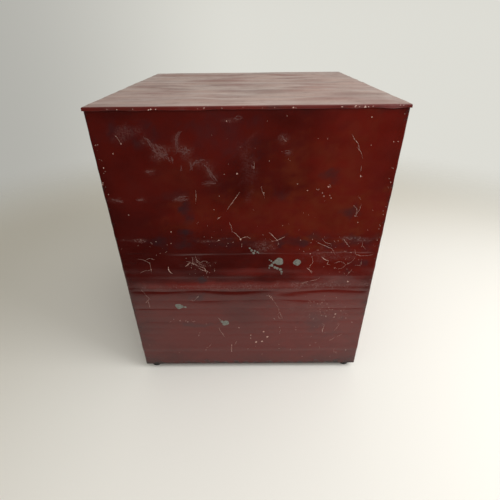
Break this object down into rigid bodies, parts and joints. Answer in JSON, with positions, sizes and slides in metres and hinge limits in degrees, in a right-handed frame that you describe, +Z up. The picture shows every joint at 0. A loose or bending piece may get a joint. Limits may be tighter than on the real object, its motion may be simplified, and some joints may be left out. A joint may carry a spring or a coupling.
{
  "type": "newspaper vending box",
  "caption": "Sheet-steel newspaper vending box: bottom-hinged window door, coin latch, coin return and locked cash drawer, on rubber feet.",
  "frame": {"origin": "on the floor under the middle of the cabinet's footprint, in the plane of the feet", "axes": "+Z up; the door faces -Y; +X to the right of someone who faces the door"},
  "size_m": [0.4084, 0.4632, 0.483],
  "materials": {
    "oxblood_enamel": "gloss baked enamel, dark oxblood red, worn",
    "galvanised_sheet": "dull galvanised sheet",
    "zinc_plate": "bright zinc plate",
    "spring_steel": "oiled spring wire",
    "chrome_trim": "polished chrome plate",
    "black_rubber": "matt moulded rubber",
    "clear_sheet": "clear acrylic sheet",
    "white_card": "plain printed card, blank"
  },
  "bodies": {
    "cabinet": {"cabinet_wrap": "oxblood_enamel", "top_panel": "oxblood_enamel", "base_pan": "galvanised_sheet", "header_panel": "oxblood_enamel", "sill_panel": "oxblood_enamel", "paper_shelf": "galvanised_sheet", "paper_guides": "galvanised_sheet", "mech_tray": "galvanised_sheet", "rubber_feet": "black_rubber", "foot_screws": "zinc_plate", "foot_nuts": "zinc_plate", "cabinet_rivets": "galvanised_sheet", "door_bumpers": "black_rubber", "hinge_cabinet_leaf": "galvanised_sheet", "hinge_pin": "zinc_plate", "door_springs": "spring_steel", "price_card_frame": "chrome_trim", "price_card": "white_card", "coin_slot_plate": "chrome_trim", "slot_screws": "zinc_plate", "slot_nuts": "zinc_plate", "coin_chute": "galvanised_sheet", "return_trough": "galvanised_sheet", "return_cup": "galvanised_sheet", "flap_pin": "zinc_plate", "button_bezel": "chrome_trim", "button_bracket": "galvanised_sheet", "lever_pin": "zinc_plate", "button_spring": "spring_steel", "drawer_rails": "galvanised_sheet", "lock_keeper": "galvanised_sheet", "latch_bracket": "galvanised_sheet", "latch_pin": "zinc_plate"},
    "door": {"door_panel": "oxblood_enamel", "hinge_door_leaf": "galvanised_sheet", "window_gasket": "black_rubber", "window_pane": "clear_sheet", "window_retainer": "galvanised_sheet", "display_pocket": "galvanised_sheet", "door_handle": "chrome_trim", "handle_screws": "zinc_plate", "door_striker": "galvanised_sheet", "stay_arcs": "galvanised_sheet", "door_rivets": "galvanised_sheet"},
    "latch": {"latch_arm": "zinc_plate", "latch_weight": "galvanised_sheet", "coin_paddle": "galvanised_sheet", "latch_rivets": "galvanised_sheet"},
    "cash_drawer": {"drawer_front": "oxblood_enamel", "drawer_box": "galvanised_sheet", "lock_barrel": "chrome_trim", "lock_nut": "zinc_plate"},
    "lock_rotor": {"lock_plug": "chrome_trim", "lock_cam": "zinc_plate", "cam_screw": "zinc_plate"},
    "coin_return_button": {"return_button": "chrome_trim"},
    "coin_return_lever": {"return_lever": "zinc_plate"},
    "coin_return_flap": {"return_flap": "chrome_trim"}
  },
  "joints": [
    {"name": "door_hinge", "type": "hinge", "parent": "cabinet", "child": "door", "pos_m": [0, -0.213, 0.056], "axis": [1, 0, 0], "range_deg": [0, 75], "stiffness_Nm_per_rad": 1.6, "springref_deg": -45.84, "deforming": ["door_springs"]},
    {"name": "latch_pivot", "type": "hinge", "parent": "cabinet", "child": "latch", "pos_m": [0, -0.104, 0.378], "axis": [1, 0, 0], "range_deg": [0, 7]},
    {"name": "drawer_slide", "type": "slide", "parent": "cabinet", "child": "cash_drawer", "axis": [0, -1, 0], "range_m": [0, 0.12]},
    {"name": "lock_turn", "type": "hinge", "parent": "cash_drawer", "child": "lock_rotor", "pos_m": [0.071, -0.2, 0.402], "axis": [0, -1, 0], "range_deg": [0, 90]},
    {"name": "button_push", "type": "slide", "parent": "cabinet", "child": "coin_return_button", "axis": [0, 1, 0], "range_m": [0, 0.006], "stiffness_N_per_m": 300, "springref_m": -0.004, "deforming": ["button_spring"]},
    {"name": "lever_turn", "type": "hinge", "parent": "cabinet", "child": "coin_return_lever", "pos_m": [0.108, -0.178, 0.45], "axis": [0, 0, 1], "range_deg": [0, 10.75]},
    {"name": "flap_swing", "type": "hinge", "parent": "cabinet", "child": "coin_return_flap", "pos_m": [0.165, -0.205, 0.402], "axis": [1, 0, 0], "range_deg": [0, 55]}
  ],
  "couplings": [
    {"joint": "lever_turn", "follows": "button_push", "rad_per_m": 31.25}
  ]
}
